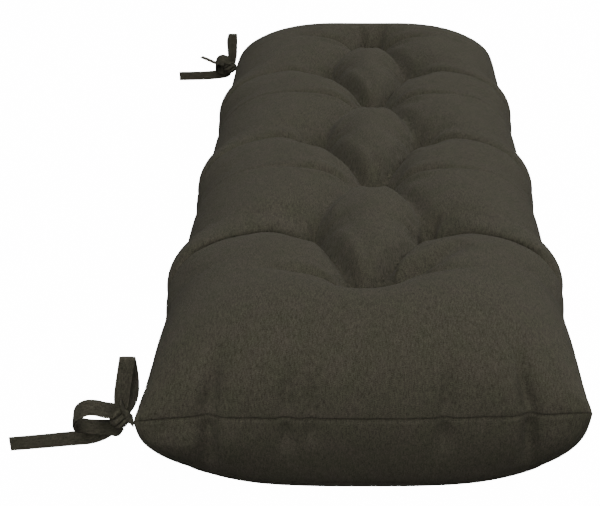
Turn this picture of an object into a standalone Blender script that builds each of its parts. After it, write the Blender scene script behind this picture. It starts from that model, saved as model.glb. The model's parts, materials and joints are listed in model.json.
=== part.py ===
"""Bench cushion: a long puffed seat cushion, drawn in by ten tufts, with a bow tied at two corners.

Metres, +Z up. The cushion lies on its back along Y, and X runs across it. The origin is under
its middle, on the surface that it rests on, and the plain seam runs round it at SEAM_HEIGHT.
"""
import math

import bmesh
import bpy
import numpy as np

COLLECTION = "bench_cushion"

# Cushion, sewn and filled
LENGTH = 1.17             # along the side seams
WIDTH = 0.40              # along the end seams
SEAM_HEIGHT = 0.088       # seam above the resting surface
CROWN = 0.087             # envelope of the upper panel above the seam
BELLY = 0.100             # free depth of the lower panel, before its weight flattens it
FLAT_FROM = 0.0025        # cloth that would be nearer the floor than this lies flat on it
SIDE_PULL = 0.0025        # side seams drawn in between the ears
END_PULL = 0.003          # end seams drawn in between the ears
SEAM_SCALLOP = 0.0015     # side seam drawn in at a row of side creases
SIDE_SWELLS = (0.0150, 0.0115, 0.0115)   # fullness of the side just before each row of two tufts
SWELL_SHIFT = 0.09        # where that fullness starts, in spacings of like rows
SWELL_HUMPS = 2.5         # spacings from the start of the first hump to the end of the last
SWELL_FROM = 0.5          # share of the half width where the fullness begins
SWELL_OVER = 0.4          # and the share over which it grows
SIDE_SLANT = -0.066       # side creases of a row of two curve this far towards -Y on their way out
EDGE_LEVEL = 0.7          # share of the crown at which a crease has its whole depth

# How far each panel rounds over from its seam, and how bluntly (2 is a quarter ellipse)
ROUNDING = {
    # panel: side run, side power, end run, end power
    "upper": (0.158, 2.27, 0.117, 1.95),
    "lower": (0.199, 2.75, 0.062, 2.45),
}

# Tufts: seven rows, evenly spaced, one and two by turns
END_ROW = 0.150           # end seam to the first and to the last row
ROWS = 7
TUFTS = (
    # row, place across
    (1, -0.002),
    (2, -0.055),
    (2, 0.066),
    (3, 0.010),
    (4, -0.056),
    (4, 0.066),
    (5, 0.012),
    (6, -0.052),
    (6, 0.060),
    (7, 0.006),
)
TUFT_DEPTH = 0.054        # sink of the cloth at a tuft, below the envelope
LOWER_SHARE = 0.5         # depth of the creases underneath, against those on top

CREASES = {
    # kind: depth midway, depth at the far end, reach on its first side and on its second
    "between_tufts": (0.044, 0.054, 0.042, 0.066),   # towards the middle puff, then the side puff
    "first_side": (0.036, 0.021, 0.075, 0.045),      # towards the near end, then the far end
    "later_side": (0.015, 0.021, 0.060, 0.050),
    "weak_side": (0.004, 0.004, 0.050, 0.050),
}
SIDE_KINDS = ("weak_side", "first_side", "weak_side", "later_side", "weak_side", "later_side", "weak_side")
BOW = 0.012               # creases from a row of two to the next tuft bow outwards by this much

# Mesh steps of one panel
STEPS_SIDE = 10           # seam to the tufts beside it
STEPS_TUFT = 8            # row to row, and middle tufts to side tufts, so creases cross squares
STEPS_END = 11            # end seam to the first row
TINY = 1e-9               # keeps a division by zero away
EDGE_CROWDING = 0.85      # how much the steps crowd towards the side seams
END_CROWDING = 0.6        # and towards the end seams

# Ties: a flat strip sewn in by its middle, tied in a bow of two loops and two free ends
STRIP_WIDTH = 0.014
STRIP_THICKNESS = 0.0018
SEWN_GAP = 0.0004         # between the ear of the cushion and the strip
STRAND_SAMPLES = 3        # sections from one row of a strand's table to the next
EAR_PULL_REACH = 0.030    # how far along the seam a tie draws the cloth with it
ACROSS, ALONG, UPRIGHT = (1.0, 0.0, 0.0), (0.0, 1.0, 0.0), (0.0, 0.0, 1.0)

NEAR_STRANDS = {
    # place from the ear: across, along, up; then how far the width leans over, in degrees
    "root_low": (
        (-0.0006, 0.0000, 0.0000, 112),
        (-0.0035, 0.0000, 0.0000, 112),
        (-0.0085, -0.0005, 0.0010, 108),
    ),
    "root_high": (
        (0.0000, 0.0000, 0.0010, 90),
        (-0.0036, -0.0040, 0.0090, 100),
        (-0.0060, -0.0085, 0.0185, 108),
        (-0.0076, -0.0095, 0.0265, 110),
    ),
    "side_loop": (
        (-0.0060, -0.0040, 0.0105, 40),
        (-0.0120, -0.0080, 0.0140, 34),
        (-0.0200, -0.0150, 0.0196, 28),
        (-0.0275, -0.0180, 0.0238, 25),
        (-0.0365, -0.0180, 0.0237, 25),
        (-0.0457, -0.0130, 0.0161, 33),
        (-0.0510, -0.0040, 0.0052, 45),
        (-0.0512, 0.0060, -0.0055, 52),
        (-0.0480, 0.0140, -0.0110, 52),
        (-0.0418, 0.0180, -0.0146, 48),
        (-0.0329, 0.0180, -0.0152, 42),
        (-0.0229, 0.0120, -0.0122, 36),
        (-0.0150, 0.0060, -0.0098, 32),
        (-0.0095, 0.0010, -0.0020, 40),
    ),
    "long_end": (
        (-0.0080, 0.0020, 0.0060, 28),
        (-0.0138, 0.0080, -0.0032, 25),
        (-0.0249, 0.0170, -0.0164, 20),
        (-0.0353, 0.0225, -0.0246, 14),
        (-0.0449, 0.0240, -0.0285, 10),
        (-0.0595, 0.0230, -0.0296, 6),
        (-0.0837, 0.0200, -0.0306, 2),
        (-0.1150, 0.0180, -0.0325, 0),
    ),
    "upright_loop": (
        (-0.0095, -0.0035, 0.0100, 0),
        (-0.0082, -0.0050, 0.0190, 0),
        (-0.0069, -0.0055, 0.0300, 0),
        (-0.0048, -0.0050, 0.0420, 0),
        (-0.0012, -0.0038, 0.0608, 0),
        (-0.0010, -0.0010, 0.0638, 0),
        (-0.0008, 0.0018, 0.0608, 0),
        (0.0000, 0.0050, 0.0443, 10),
        (-0.0003, 0.0060, 0.0271, 25),
        (-0.0024, 0.0040, 0.0140, 45),
        (-0.0055, 0.0010, 0.0060, 60),
    ),
    "short_end": (
        (-0.0090, 0.0010, 0.0095, 60),
        (-0.0200, 0.0080, 0.0085, 72),
        (-0.0330, 0.0150, 0.0070, 76),
    ),
}
FAR_STRANDS = {
    "root_low": (
        (-0.0006, 0.0000, 0.0000, 96),
        (-0.0035, 0.0000, 0.0000, 96),
        (-0.0080, -0.0005, 0.0000, 96),
    ),
    "side_loop": (
        (-0.0085, -0.0050, 0.0065, 45),
        (-0.0155, -0.0100, 0.0135, 24),
        (-0.0235, -0.0130, 0.0166, 30),
        (-0.0310, -0.0095, 0.0120, 34),
        (-0.0350, 0.0000, 0.0020, 42),
        (-0.0325, 0.0095, -0.0060, 40),
        (-0.0248, 0.0130, -0.0090, 34),
        (-0.0160, 0.0090, -0.0080, 28),
        (-0.0100, 0.0030, -0.0030, 32),
    ),
    "long_end": (
        (-0.0090, 0.0030, -0.0030, 28),
        (-0.0185, 0.0140, -0.0129, 20),
        (-0.0315, 0.0190, -0.0173, 10),
        (-0.0554, 0.0160, -0.0186, 4),
        (-0.0948, 0.0140, -0.0190, 0),
    ),
    "upright_loop": (
        (-0.0088, -0.0030, 0.0072, 0),
        (-0.0076, -0.0045, 0.0221, 0),
        (-0.0068, -0.0040, 0.0353, 0),
        (-0.0064, -0.0036, 0.0500, 0),
        (-0.0068, -0.0010, 0.0530, 0),
        (-0.0072, 0.0016, 0.0500, 0),
        (-0.0098, 0.0030, 0.0400, 0),
        (-0.0094, 0.0040, 0.0237, 0),
        (-0.0091, 0.0012, 0.0091, 0),
    ),
    "short_end": (
        (-0.0090, 0.0030, 0.0000, 90),
        (-0.0338, 0.0140, 0.0019, 90),
        (-0.0498, 0.0180, 0.0073, 90),
        (-0.0593, 0.0200, 0.0107, 90),
    ),
}
KNOTS = {
    # tie: place from the ear, then size
    "tie_near": ((-0.0105, -0.0060, 0.0085), (0.018, 0.020, 0.022)),
    "tie_far": ((-0.0125, -0.0045, 0.0015), (0.021, 0.019, 0.020)),
}
TIES = (
    # name, end, distance from its corner, pull on the ear across and up, strands
    ("tie_near", -1, 0.000, (-0.0040, -0.0040), NEAR_STRANDS),
    ("tie_far", 1, 0.030, (0.0000, -0.0035), FAR_STRANDS),
)

CLOTH_COLOUR = (0.058, 0.051, 0.036, 1.0)
CLOTH_ROUGHNESS = 0.95


def cloth_material(name):
    """Matt dark woven cloth."""
    material = bpy.data.materials.new(name)
    material.use_nodes = True
    shader = material.node_tree.nodes["Principled BSDF"]
    shader.inputs["Base Color"].default_value = CLOTH_COLOUR
    shader.inputs["Roughness"].default_value = CLOTH_ROUGHNESS
    shader.inputs["Metallic"].default_value = 0.0
    return material


def row_place(row):
    """Place along the cushion of a row of tufts."""
    spacing = (LENGTH - 2.0 * END_ROW) / (ROWS - 1)
    return -LENGTH / 2 + END_ROW + (row - 1) * spacing


def shoulder(run, power):
    """Rise of a puffed edge: 0 at the seam, 1 at the end of its run, along a superellipse."""
    inside = 1.0 - np.clip(run, 0.0, 1.0)
    return (1.0 - inside**power) ** (1.0 / power)


def pinch(distance):
    """Sink of the cloth beside a crease: 1 in it and 0 from its reach on, along a circle."""
    inside = 1.0 - np.clip(distance, 0.0, 1.0)
    return 1.0 - np.sqrt(1.0 - inside**2)


def crease_lines():
    """Every crease as its start, its end and its kind, worked out from the table of tufts."""
    tufts = [(across, row_place(row), row) for row, across in TUFTS]
    lines = []
    for i, (x, y, row) in enumerate(tufts):
        for other_x, other_y, other_row in tufts[i + 1 :]:
            if other_row == row + 1:
                lines.append(((x, y), (other_x, other_y), "between_tufts"))
        single = row % 2 == 1
        for side in (-1, 1):
            if single or side * x > 0:
                lines.append(((x, y), (side * WIDTH / 2, y), SIDE_KINDS[row - 1]))
    return lines


def from_line(x, y, start, end, kind):
    """Share of the way along a crease of the nearest place on it, the distance, and the side.

    The side is true on a crease's second side: outwards of one between tufts, and towards the
    far end of any other. A bowed or slanting crease is a parabola beside its straight line.
    """
    along_x = end[0] - start[0]
    along_y = end[1] - start[1]
    t = ((x - start[0]) * along_x + (y - start[1]) * along_y) / (along_x**2 + along_y**2)
    t = np.clip(t, 0.0, 1.0)
    off_x = x - start[0] - t * along_x
    off_y = y - start[1] - t * along_y
    if kind == "between_tufts" and abs(start[0]) > abs(end[0]):
        off_x = off_x - math.copysign(BOW, start[0]) * 4 * t * (1 - t)
    if kind in ("first_side", "later_side"):
        off_y = (off_y - SIDE_SLANT * t**2) / np.hypot(1.0, 2 * SIDE_SLANT * t / along_x)
    second = off_x * (start[0] + end[0]) > 0 if kind == "between_tufts" else off_y > 0
    return t, np.hypot(off_x, off_y), second


def crease_depth(x, y, panel):
    """Depth of the cloth below its puffed envelope.

    Each crease is a line whose depth is a parabola through three values, and beside it the
    cloth rises along a circle. What the creases leave standing is multiplied, and their depths
    are averaged by nearness, so that creases that meet don't deepen each other.
    """
    share = 1.0 if panel == "upper" else LOWER_SHARE
    level = np.ones_like(x)
    weighted = np.zeros_like(x)
    weights = np.full_like(x, TINY)
    for start, end, kind in crease_lines():
        middle, far, first_reach, second_reach = CREASES[kind]
        t, distance, second = from_line(x, y, start, end, kind)
        depth = TUFT_DEPTH * (1 - t) * (1 - 2 * t) + 4 * middle * t * (1 - t) + far * t * (2 * t - 1)
        sink = pinch(distance / np.where(second, second_reach, first_reach))
        level *= 1.0 - sink
        weighted += depth * sink**3
        weights += sink**3
    return share * (1.0 - level) * weighted / weights


def side_swell(x, y):
    """Extra fullness of the sides: one soft hump ahead of each row of two tufts."""
    spacing = row_place(3) - row_place(1)
    phase = (y - row_place(1)) / spacing
    hump = np.clip(np.sin(2 * math.pi * (phase - SWELL_SHIFT)), 0.0, 1.0)
    hump = np.where((phase > SWELL_SHIFT) & (phase < SWELL_SHIFT + SWELL_HUMPS), hump, 0.0)
    outer = np.clip((2 * np.abs(x) / WIDTH - SWELL_FROM) / SWELL_OVER, 0.0, 1.0)
    fullness = np.array(SIDE_SWELLS)[np.clip(np.floor(phase).astype(int), 0, len(SIDE_SWELLS) - 1)]
    return fullness * hump * outer**2 * (3 - 2 * outer)


def side_draw(y):
    """How far the side seam is drawn in: none at the ears, most at each row of side creases."""
    ends = 2 * y / LENGTH
    spacing = row_place(3) - row_place(1)
    wave = 0.5 + 0.5 * np.cos(2 * math.pi * (y - row_place(2)) / spacing)
    return SIDE_PULL * (1 - ends**6) + SEAM_SCALLOP * wave * (1 - ends**8)


def graded(start, stop, steps, bias):
    """Places from start to stop that crowd towards start: bias 0 is even, 1 a full cosine."""
    t = np.linspace(0.0, 1.0, steps + 1)
    return start + (stop - start) * (bias * (1.0 - np.cos(t * math.pi / 2)) + (1.0 - bias) * t)


def tuft_column(y, rows, side):
    """Place across of a column of tufts at each place along, straight from tuft to tuft."""
    tufts = [(row_place(row), x) for row, x in TUFTS if row in rows and (side == 0 or side * x > 0)]
    return np.interp(y, [place for place, _ in tufts], [x for _, x in tufts])


def panel_grid(shift=0.0):
    """Places across and along the cushion of a panel's points, seam to seam.

    The columns run through the tufts, and between them the lines keep even steps. A shift of
    0.5 gives the middle of each square instead of its corners.
    """
    end = graded(-LENGTH / 2, row_place(1), STEPS_END, END_CROWDING)
    rows = np.linspace(row_place(1), row_place(ROWS), (ROWS - 1) * STEPS_TUFT + 1)
    along = np.concatenate([end[:-1], rows, -end[::-1][1:]])
    single = range(1, ROWS + 1, 2)
    double = range(2, ROWS + 1, 2)
    columns = [np.full_like(along, -WIDTH / 2), tuft_column(along, double, -1),
               tuft_column(along, single, 0), tuft_column(along, double, 1),
               np.full_like(along, WIDTH / 2)]
    edge = graded(0.0, 1.0, STEPS_SIDE, EDGE_CROWDING)
    even = np.linspace(0.0, 1.0, STEPS_TUFT + 1)
    shares = [edge[:-1], even[:-1], even[:-1], 1.0 - edge[::-1]]
    strips = []
    for start, stop, share in zip(columns[:-1], columns[1:], shares):
        strips.append(start[:, None] + (stop - start)[:, None] * share)
    x = np.concatenate(strips, axis=1)
    y = np.broadcast_to(along[:, None], x.shape)
    if shift:
        x = (x[:-1, :-1] + x[:-1, 1:] + x[1:, :-1] + x[1:, 1:]) / 4
        y = (y[:-1, :-1] + y[1:, 1:]) / 2
    return x, y


def panel_surface(panel, shift=0.0):
    """Points of one panel, measured up from the seam for the upper panel and down for the lower.

    An envelope of two superellipses, one across and one along, is pressed in along its own
    normal by the creases, which fade out towards the seam.
    """
    x, y = panel_grid(shift)
    side_run, side_power, end_run, end_power = ROUNDING[panel]
    from_side = WIDTH / 2 - np.abs(x)
    from_end = LENGTH / 2 - np.abs(y)
    rise = shoulder(from_side / side_run, side_power) * shoulder(from_end / end_run, end_power)
    height = (CROWN if panel == "upper" else BELLY) * rise
    places = np.stack([x, y, height], axis=-1)
    normals = np.cross(np.gradient(places, axis=1), np.gradient(places, axis=0))
    normals /= np.linalg.norm(normals, axis=-1, keepdims=True) + TINY
    normals *= np.where(normals[..., 2:] < 0, -1.0, 1.0)
    fade = np.clip(rise / EDGE_LEVEL, 0.0, 1.0)
    swell = side_swell(x, y) * np.sqrt(np.sin(math.pi * np.clip(rise, 0.0, 1.0)))
    places -= normals * (crease_depth(x, y, panel) * fade - swell)[..., None]
    across = 2 * x / WIDTH
    along = 2 * y / LENGTH
    places[..., 0] -= across * np.abs(across) * side_draw(y)
    places[..., 1] -= along * np.abs(along) * END_PULL * (1 - across**6)
    return places


def floor_flat(depth):
    """Depth of the lower panel once its own weight has flattened it on the floor."""
    return np.where(depth > SEAM_HEIGHT - FLAT_FROM, SEAM_HEIGHT, depth)


def ear_pull(places):
    """How far the ties draw the cloth outwards and down around the ears that they are sewn into."""
    pull = np.zeros_like(places)
    for _, end, inset, (across, up), _ in TIES:
        ear = (-WIDTH / 2, end * (LENGTH / 2 - inset))
        away = np.hypot(places[..., 0] - ear[0], places[..., 1] - ear[1])
        near = np.exp(-((away / EAR_PULL_REACH) ** 2))
        pull += near[..., None] * np.array((across, 0.0, up))
    return pull


def new_object(name, points, faces, collection):
    """An object with its own mesh and material, shaded smooth."""
    mesh = bpy.data.meshes.new(name)
    mesh.from_pydata([tuple(map(float, p)) for p in points], [], [tuple(map(int, f)) for f in faces])
    mesh.materials.append(cloth_material(name))
    mesh.validate()
    mesh.shade_smooth()
    result = bpy.data.objects.new(name, mesh)
    collection.objects.link(result)
    return result


def grid_faces(index, points, middles):
    """Triangles between neighbouring points of a grid of point numbers.

    Each square is split along the diagonal that passes nearer to the real surface's middle.
    """
    a, b, c, d = index[:-1, :-1], index[:-1, 1:], index[1:, 1:], index[1:, :-1]
    rising = np.linalg.norm((points[a] + points[c]) / 2 - middles, axis=-1)
    falling = np.linalg.norm((points[b] + points[d]) / 2 - middles, axis=-1)
    split = (rising <= falling)[..., None]
    first = np.where(split, np.stack([a, b, c], axis=-1), np.stack([a, b, d], axis=-1))
    second = np.where(split, np.stack([a, c, d], axis=-1), np.stack([b, c, d], axis=-1))
    return np.concatenate([first.reshape(-1, 3), second.reshape(-1, 3)])


def placed_panel(panel, shift=0.0):
    """A panel's points in the part's frame; the lower one lies flat in its middle."""
    places = panel_surface(panel, shift)
    pull = ear_pull(places)
    if panel == "upper":
        places[..., 2] += SEAM_HEIGHT
    else:
        places[..., 2] = SEAM_HEIGHT - floor_flat(places[..., 2])
        pull *= places[..., 2:] / SEAM_HEIGHT
    return places + pull


def make_cushion(collection):
    """One filled solid: the two panels meet at the seam, whose points they share."""
    top = placed_panel("upper")
    bottom = placed_panel("lower")
    rim = np.ones(top.shape[:2], dtype=bool)
    rim[1:-1, 1:-1] = False
    top[rim, 2] = bottom[rim, 2]
    top_index = np.arange(rim.size).reshape(rim.shape)
    bottom_index = top_index.copy()
    bottom_index[~rim] = rim.size + np.arange(np.count_nonzero(~rim))
    points = np.concatenate([top.reshape(-1, 3), bottom[~rim]])
    upper = grid_faces(top_index, points, placed_panel("upper", 0.5))
    lower = grid_faces(bottom_index, points, placed_panel("lower", 0.5))
    return new_object("cushion", points, np.concatenate([upper, lower[:, ::-1]]), collection)


def smooth_rows(table, samples):
    """A table's rows, joined by a Catmull-Rom curve through them."""
    rows = np.array(table, dtype=float)
    padded = np.concatenate([2 * rows[:1] - rows[1:2], rows, 2 * rows[-1:] - rows[-2:-1]])
    t = np.linspace(0.0, 1.0, samples, endpoint=False)[:, None]
    pieces = []
    for i in range(len(rows) - 1):
        before, start, end, after = padded[i : i + 4]
        cubic = 2 * start + (end - before) * t + (2 * before - 5 * start + 4 * end - after) * t**2
        pieces.append(0.5 * (cubic + (3 * start - before - 3 * end + after) * t**3))
    return np.concatenate(pieces + [rows[-1:]])


def strand_sections(table, ear, level):
    """Centre, half width and half thickness vectors of each section of a strand."""
    rows = smooth_rows(table, STRAND_SAMPLES)
    centres = ear + rows[:, :3]
    forward = np.gradient(centres, axis=0)
    forward /= np.linalg.norm(forward, axis=1, keepdims=True)
    lean = np.radians(rows[:, 3:])
    wide = np.array(level) * np.cos(lean) + np.array(ALONG) * np.sin(lean)
    wide -= forward * np.sum(wide * forward, axis=1, keepdims=True)
    wide /= np.linalg.norm(wide, axis=1, keepdims=True)
    thick = np.cross(forward, wide)
    return centres, wide * STRIP_WIDTH / 2, thick * STRIP_THICKNESS / 2


def make_strand(kind, table, ear, collection):
    """A flat strip carried along its strand, with square ends."""
    level = ACROSS if kind == "upright_loop" else UPRIGHT
    centres, wide, thick = strand_sections(table, ear, level)
    ring = np.stack([centres + wide + thick, centres - wide + thick,
                     centres - wide - thick, centres + wide - thick], axis=1)
    count = len(centres)
    index = np.arange(4 * count).reshape(count, 4)
    faces = [index[0], index[-1][::-1]]
    for side in range(4):
        after = (side + 1) % 4
        walls = [index[:-1, after], index[:-1, side], index[1:, side], index[1:, after]]
        faces.extend(np.stack(walls, axis=1))
    return new_object(kind, ring.reshape(-1, 3), faces, collection)


def make_tie(name, ear, strands, collection, workshop):
    """One tied strip: a knot joined with its roots, its loops and its free ends."""
    knot_place, knot_size = KNOTS[name]
    mesh = bpy.data.meshes.new(name)
    shape = bmesh.new()
    bmesh.ops.create_icosphere(shape, subdivisions=2, radius=0.5)
    bmesh.ops.scale(shape, vec=knot_size, verts=shape.verts)
    bmesh.ops.translate(shape, vec=ear + np.array(knot_place), verts=shape.verts)
    shape.to_mesh(mesh)
    shape.free()
    mesh.materials.append(cloth_material(name))
    tie = bpy.data.objects.new(name, mesh)
    collection.objects.link(tie)
    for kind, table in strands.items():
        strand = make_strand(kind, table, ear, workshop)
        strand.hide_render = True
        strand.display_type = "WIRE"
        union = tie.modifiers.new(kind, "BOOLEAN")
        union.operation = "UNION"
        union.solver = "EXACT"
        union.use_self = True
        union.object = strand
    return tie


def clear_scene():
    """Start from an empty scene."""
    for item in list(bpy.data.objects):
        bpy.data.objects.remove(item, do_unlink=True)


def main():
    clear_scene()
    collection = bpy.data.collections.new(COLLECTION)
    bpy.context.scene.collection.children.link(collection)
    workshop = bpy.data.collections.new("strands")
    bpy.context.scene.collection.children.link(workshop)
    make_cushion(collection)
    for name, end, inset, (across, up), strands in TIES:
        y = end * (LENGTH / 2 - inset)
        ear = np.array((side_draw(y) - WIDTH / 2 + across - SEWN_GAP, y, SEAM_HEIGHT + up))
        make_tie(name, ear, strands, collection, workshop)


main()
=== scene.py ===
"""Looks of the bench cushion: filled cloth with its tufts and seam, and its two knotted ties."""
import json
import math

import bpy
import numpy as np
from mathutils import Euler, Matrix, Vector

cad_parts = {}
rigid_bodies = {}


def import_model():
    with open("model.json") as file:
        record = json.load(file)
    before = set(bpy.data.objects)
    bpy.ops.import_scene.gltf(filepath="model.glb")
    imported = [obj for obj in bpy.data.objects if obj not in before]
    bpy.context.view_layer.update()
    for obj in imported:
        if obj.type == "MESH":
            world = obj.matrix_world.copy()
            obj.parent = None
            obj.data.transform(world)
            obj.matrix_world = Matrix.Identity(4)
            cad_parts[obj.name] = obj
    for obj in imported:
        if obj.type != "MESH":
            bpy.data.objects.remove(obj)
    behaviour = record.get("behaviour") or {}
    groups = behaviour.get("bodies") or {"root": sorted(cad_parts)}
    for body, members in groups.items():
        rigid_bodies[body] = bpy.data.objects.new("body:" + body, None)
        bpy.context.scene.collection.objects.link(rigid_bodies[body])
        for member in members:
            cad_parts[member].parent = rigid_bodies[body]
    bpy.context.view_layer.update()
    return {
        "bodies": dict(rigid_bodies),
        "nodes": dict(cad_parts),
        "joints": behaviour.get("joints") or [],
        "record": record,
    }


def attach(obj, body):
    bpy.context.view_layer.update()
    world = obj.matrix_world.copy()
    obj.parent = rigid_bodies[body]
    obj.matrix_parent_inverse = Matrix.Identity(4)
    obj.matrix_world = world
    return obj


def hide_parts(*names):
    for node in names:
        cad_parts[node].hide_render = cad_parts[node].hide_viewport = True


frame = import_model()

# Cushion, sewn and filled (metres)
LENGTH = 1.17             # along the side seams
WIDTH = 0.40              # along the end seams
SEAM_HEIGHT = 0.088       # seam above the resting surface
CROWN = 0.087             # envelope of the upper panel above the seam
BELLY = 0.100             # free depth of the lower panel, before the floor flattens it
FLOOR_SOFTNESS = 0.0008   # how softly the cloth turns on to the floor
SIDE_PULL = 0.0025        # side seams drawn in between the ears
END_PULL = 0.003          # end seams drawn in between the ears
SEAM_SCALLOP = 0.0015     # side seam drawn in at a row of side creases
SIDE_SWELLS = (0.0150, 0.0115, 0.0115)   # fullness of the side just before each row of two tufts
SWELL_SHIFT = 0.09        # where that fullness starts, in spacings of like rows
SWELL_HUMPS = 2.5         # spacings from the start of the first hump to the end of the last
SWELL_SOFT = 0.25         # how softly a hump starts and ends
SWELL_FROM = 0.5          # share of the half width where the fullness begins
SWELL_OVER = 0.4          # and the share over which it grows
SIDE_SLANT = -0.066       # side creases of a row of two curve this far towards -Y on their way out
EDGE_LEVEL = 0.7          # share of the crown at which a crease has its whole depth

# How far each panel rounds over from its seam, and how bluntly (2 is a quarter ellipse)
ROUNDING = {
    # panel: side run, side power, end run, end power
    "upper": (0.158, 2.27, 0.117, 1.95),
    "lower": (0.199, 2.75, 0.062, 2.45),
}

# Tufts: seven rows, evenly spaced, one and two by turns
END_ROW = 0.150           # end seam to the first and to the last row
ROWS = 7
TUFTS = (
    # row, place across
    (1, -0.002),
    (2, -0.055),
    (2, 0.066),
    (3, 0.010),
    (4, -0.056),
    (4, 0.066),
    (5, 0.012),
    (6, -0.052),
    (6, 0.060),
    (7, 0.006),
)
TUFT_DEPTH = 0.054        # sink of the cloth at a tuft, below the envelope
LOWER_SHARE = 0.5         # depth of the creases underneath, against those on top

CREASES = {
    # kind: depth midway, depth at the far end, reach on its first side and on its second
    "between_tufts": (0.044, 0.054, 0.042, 0.066),   # towards the middle puff, then the side puff
    "first_side": (0.036, 0.021, 0.075, 0.045),      # towards the near end, then the far end
    "later_side": (0.015, 0.021, 0.060, 0.050),
    "weak_side": (0.004, 0.004, 0.050, 0.050),
}
SIDE_KINDS = (
    # by row
    "weak_side",
    "first_side",
    "weak_side",
    "later_side",
    "weak_side",
    "later_side",
    "weak_side",
)
FOLDS = (
    # row, depth of the narrow fold in its side creases, half width
    (2, 0.0105, 0.0048),
    (3, 0.0022, 0.0030),
    (4, 0.0018, 0.0060),
    (5, 0.0026, 0.0030),
    (6, 0.0018, 0.0060),
)
FOLD_FROM, FOLD_TO = 0.10, 0.97   # share of the way from the tuft to the seam
FOLD_LATE, FOLD_BLUNT = 1.5, 0.5  # powers that put its deepest place further out, and widen it
OVERHANGS = (
    # row, how far the near puff leans over its side crease, reach, the same for the far puff
    (2, 0.0080, 0.020, 0.0100, 0.013),
    (4, 0.0022, 0.020, 0.0004, 0.012),
    (6, 0.0020, 0.020, 0.0004, 0.012),
)
OVERHANG_RUN = 1.05       # a lean ends a little short of the seam
OVERHANG_BLUNT = 0.7
WAVE_PEAK = 2.33          # makes the highest place of x exp(-x x) a whole one
DOME_PASSES = 137         # how much the puffs are softened
DOME_FROM, DOME_TO = 0.006, 0.030   # distance from a crease over which that sets in
BOW = 0.012               # creases from a row of two to the next tuft bow outwards by this much
LOOSE_FOLDS = (
    # row, start across and ahead of the row, end across and ahead, depth, half width
    (1, (0.018, 0.000), (0.104, 0.066), 0.0270, 0.014),
    (1, (0.012, -0.006), (0.080, 0.024), 0.0100, 0.016),
    (1, (-0.012, 0.004), (-0.042, 0.085), 0.0080, 0.0045),
    (1, (0.009, 0.004), (0.042, 0.085), 0.0080, 0.0045),
    (2, (0.066, 0.006), (0.078, 0.036), 0.0095, 0.006),
    (3, (0.020, 0.004), (0.058, 0.075), 0.0090, 0.012),
    (7, (0.010, 0.000), (0.030, 0.055), 0.0110, 0.007),
    (7, (0.000, 0.008), (-0.010, 0.060), 0.0080, 0.006),
    (7, (0.010, 0.000), (0.062, -0.125), 0.0130, 0.006),
)

LOOSE_FOLD_FADE = 0.7     # power with which a single fold runs out

# Gathers where a tuft's stitch draws the cloth in
TUFT_GATHERS = 9
GATHER_DEPTH = 0.0011
GATHER_REACH = 0.017
GATHER_TURN = (5.0, 40.0)   # turn them from tuft to tuft: for each row, and for each metre across
RING_PEAK = 2.7           # makes the highest place of x x exp(-x x) a whole one

# Puckers across the near seam, and the small ones all along the seams (metres)
PUCKERS = (
    # place across, depth, half width, reach up, reach down, lean outwards, lift of the seam
    (-0.139, 0.0130, 0.0080, 0.046, 0.054, 0.10, 0.0004),
    (0.146, 0.0130, 0.0068, 0.048, 0.050, -0.20, 0.0005),
    (-0.070, 0.0066, 0.0072, 0.038, 0.034, 0.05, 0.0002),
    (-0.047, 0.0058, 0.0060, 0.030, 0.026, -0.05, 0.0000),
    (0.070, 0.0076, 0.0068, 0.042, 0.036, 0.10, 0.0002),
)
PUCKERS_FROM_END = 0.05   # how far along the cushion from the near seam they still show
SEAM_HOLDS = 0.45         # share of a pucker's depth that the seam itself keeps out of
SEAM_HOLDS_REACH = 0.010
CORNER_SAGS = ((-0.160, 0.0070), (0.165, 0.0030))   # fuller cloth under the near ears
SAG_WIDE = 0.040
SAG_FROM_SEAM = 0.026
SAG_END = 0.080           # under the seam, where the fuller cloth ends again
SAG_FADE = 0.058
NEAR_SEAM_HANG = 0.0040   # the near seam hangs this much lower in its middle
NEAR_EAR_LIFT = 0.0045    # and its right ear stands this much higher
SEAM_LIFT_REACH, SEAM_LIFT_FROM_END = 0.030, 0.02
SEAM_WAVES = (0.0290, 0.0410, 0.0675)   # lengths of the waves that add up to the small puckers
SEAM_WAVE_SHIFT = 3.0     # turn of each wave against the one before, in radians
SEAM_WAVE_ROUND = 1.31    # keeps those of a side and of an end out of step
SEAM_WAVE_DEPTH = 0.0018
SEAM_WAVE_REACH = 0.016

# Ties: a flat strip sewn in by its middle, tied in a bow of two loops and two free ends
STRIP_WIDTH = 0.014
STRIP_THICKNESS = 0.0018
SEWN_GAP = 0.0004         # between the ear of the cushion and the strip
STRAND_STEP = 0.0008      # from one section of a strand to the next
STRAND_STEPS = 40         # points round a section
CURVE_STEPS = 24          # places between two rows of a strand's table
EDGE_BLUNT, FACE_BLUNT = 0.6, 0.4   # powers that make the section flat with round edges
GATHER_AT_KNOT = 0.011    # how far from a knot's middle its strands are still drawn together
NARROWED = 0.42           # share of their width that they lose there
CUPPED = 0.0030           # and how far they fold lengthwise there
HEM_AT, HEM_WIDE = 0.0016, 0.0005   # stitched line inside each edge: distance and half width
HEM_SINK = 0.45           # share of the thickness that it takes
END_HEM_AT = 0.0045       # the same line across a free end
EAR_PULL_REACH = 0.030    # how far along the seam a tie draws the cloth with it
ACROSS, ALONG, UPRIGHT = (1.0, 0.0, 0.0), (0.0, 1.0, 0.0), (0.0, 0.0, 1.0)

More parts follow.
